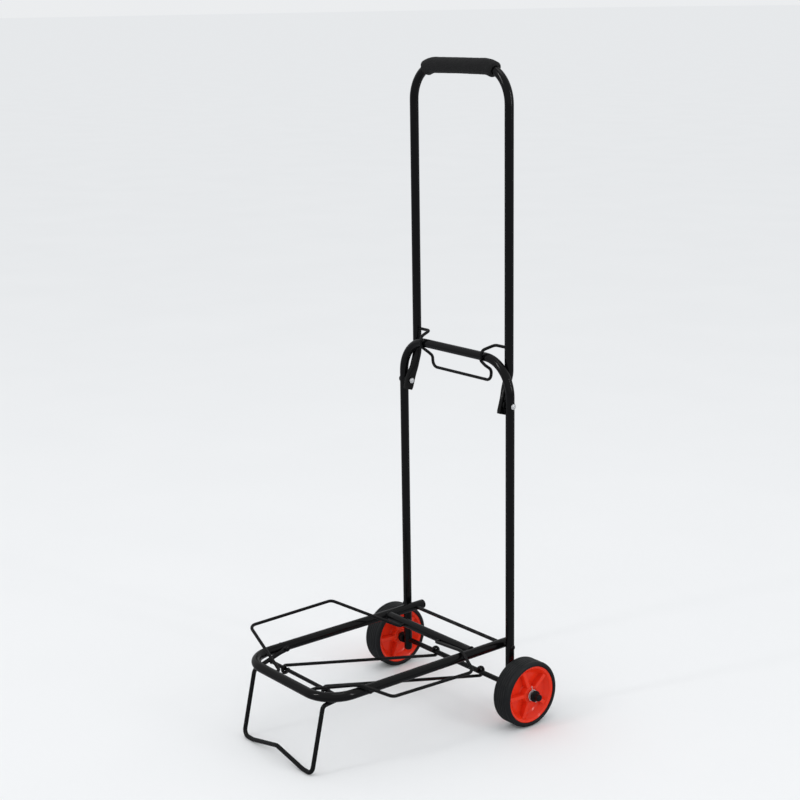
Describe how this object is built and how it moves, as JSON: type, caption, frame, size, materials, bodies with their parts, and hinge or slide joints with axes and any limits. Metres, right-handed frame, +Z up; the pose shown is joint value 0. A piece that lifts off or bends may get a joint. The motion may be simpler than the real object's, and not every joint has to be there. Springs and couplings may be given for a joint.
{
  "type": "folding luggage cart",
  "caption": "Folding luggage cart with a tube mast, a hinged handle with a foam grip, a wire latch, a hinged wire-and-tube platform, a front leg and rubber-tyred wheels.",
  "frame": {"origin": "on the ground at the middle of the cart's footprint, midway between the wheels", "axes": "+X along the axle towards the cart's right wheel, -Y from the mast towards the platform's front, +Z up"},
  "size_m": [0.3686, 0.3932, 0.9633],
  "materials": {
    "black_paint": "gloss black enamel on steel tube",
    "black_wire": "gloss black enamel on steel wire",
    "zinc": "bright zinc plate",
    "red_plastic": "glossy moulded red plastic",
    "black_rubber": "matte solid rubber with circumferential grooves",
    "black_plastic": "satin moulded black plastic",
    "black_foam": "closed-cell foam tube with a fine skin"
  },
  "bodies": {
    "lower_mast": {"lower_mast": "black_paint", "axle": "black_wire", "pivot_rod": "black_paint", "axle_spacer_left": "black_plastic", "axle_spacer_right": "black_plastic", "hub_washer_left": "zinc", "hub_washer_right": "zinc", "split_pin_left": "zinc", "split_pin_right": "zinc", "axle_cap_left": "black_plastic", "axle_cap_right": "black_plastic", "hinge_rivet_left": "zinc", "hinge_rivet_right": "zinc", "hinge_washer_left": "black_plastic", "hinge_washer_right": "black_plastic"},
    "handle": {"upper_handle": "black_paint", "foam_grip": "black_foam"},
    "latch": {"latch_wire": "black_wire"},
    "platform": {"platform_frame": "black_paint", "cross_tube": "black_paint", "tube_plug_left": "black_plastic", "tube_plug_right": "black_plastic", "leg_rivet_left": "black_paint", "leg_rivet_right": "black_paint"},
    "links": {"link_left": "black_wire", "link_right": "black_wire"},
    "leg": {"front_leg": "black_wire", "cross_rod": "black_wire", "leg_pin_left": "black_wire", "leg_pin_right": "black_wire"},
    "wing_left": {"wing_left": "black_wire"},
    "wing_right": {"wing_right": "black_wire"},
    "wheel_left": {"rim_left": "red_plastic", "tyre_left": "black_rubber"},
    "wheel_right": {"rim_right": "red_plastic", "tyre_right": "black_rubber"}
  },
  "joints": [
    {"name": "handle_fold", "type": "hinge", "parent": "lower_mast", "child": "handle", "pos_m": [0, 0.1466, 0.478], "axis": [-1, 0, 0], "range_deg": [0, 173]},
    {"name": "latch_swing", "type": "hinge", "parent": "handle", "child": "latch", "pos_m": [0, 0.1599, 0.5583], "axis": [-1, 0, 0], "range_deg": [0, 100]},
    {"name": "platform_fold", "type": "hinge", "parent": "lower_mast", "child": "platform", "pos_m": [0, 0.1466, 0.111], "axis": [-1, 0, 0], "range_deg": [0, 71]},
    {"name": "links_swing", "type": "hinge", "parent": "lower_mast", "child": "links", "pos_m": [0, 0.1466, 0.05], "axis": [-1, 0, 0], "range_deg": [0, 60]},
    {"name": "leg_fold", "type": "hinge", "parent": "links", "child": "leg", "pos_m": [0, -0.1404, 0.102], "axis": [-1, 0, 0], "range_deg": [-99.5, 0]},
    {"name": "wing_right_fold", "type": "hinge", "parent": "platform", "child": "wing_right", "pos_m": [0.0525, -0.1698, 0.111], "axis": [0.0806, -0.9967, 0], "range_deg": [0, 170]},
    {"name": "wing_left_fold", "type": "hinge", "parent": "platform", "child": "wing_left", "pos_m": [-0.0525, 0.0836, 0.111], "axis": [-0.0806, 0.9967, 0], "range_deg": [-9, 118]},
    {"name": "wheel_left_spin", "type": "hinge", "parent": "lower_mast", "child": "wheel_left", "pos_m": [0, 0.1466, 0.05], "axis": [1, 0, 0], "continuous": true},
    {"name": "wheel_right_spin", "type": "hinge", "parent": "lower_mast", "child": "wheel_right", "pos_m": [0, 0.1466, 0.05], "axis": [1, 0, 0], "continuous": true}
  ],
  "couplings": [
    {"joint": "links_swing", "follows": "platform_fold", "ratio": 0.83374},
    {"joint": "leg_fold", "follows": "platform_fold", "ratio": -1.3936}
  ]
}
